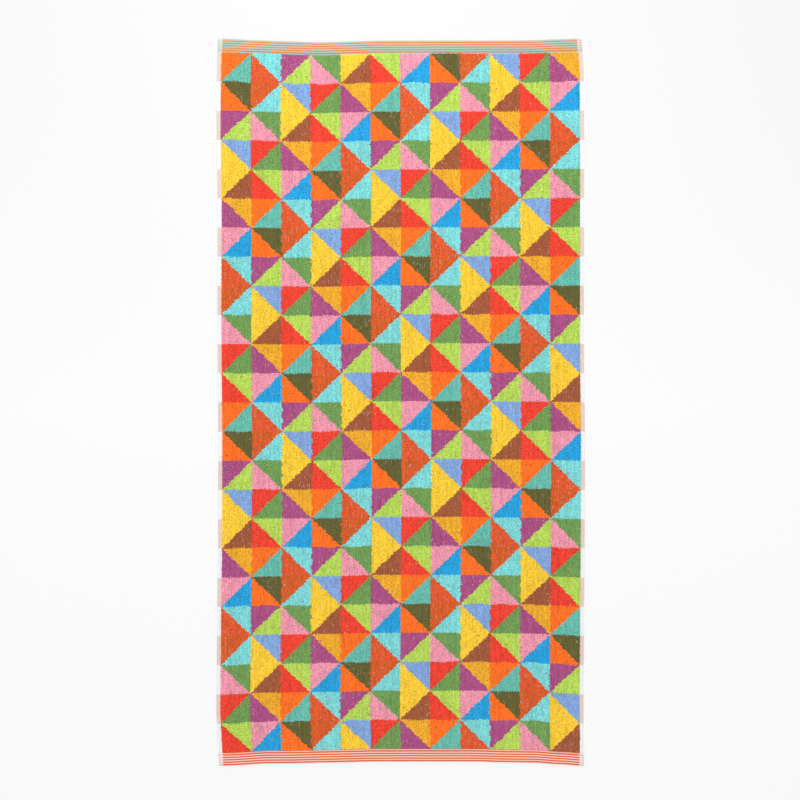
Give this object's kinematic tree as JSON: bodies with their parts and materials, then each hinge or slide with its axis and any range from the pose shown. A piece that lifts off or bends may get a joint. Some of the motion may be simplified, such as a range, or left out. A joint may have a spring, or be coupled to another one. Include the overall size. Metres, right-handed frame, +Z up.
{
  "type": "bath towel",
  "caption": "Flat rectangular terry bath towel with flat woven selvedges and narrow turned hems, laid out face up.",
  "frame": {"origin": "on the surface that the towel lies on, under the middle of its outline", "axes": "+X across the width, +Y along the length, +Z up from the surface, out of the patterned face"},
  "size_m": [0.7128, 1.406, 0.0048],
  "materials": {
    "terry": "cotton terry, looped pile in many colours over flat woven hems and selvedges"
  },
  "bodies": {
    "root": {"towel": "terry"}
  },
  "joints": []
}
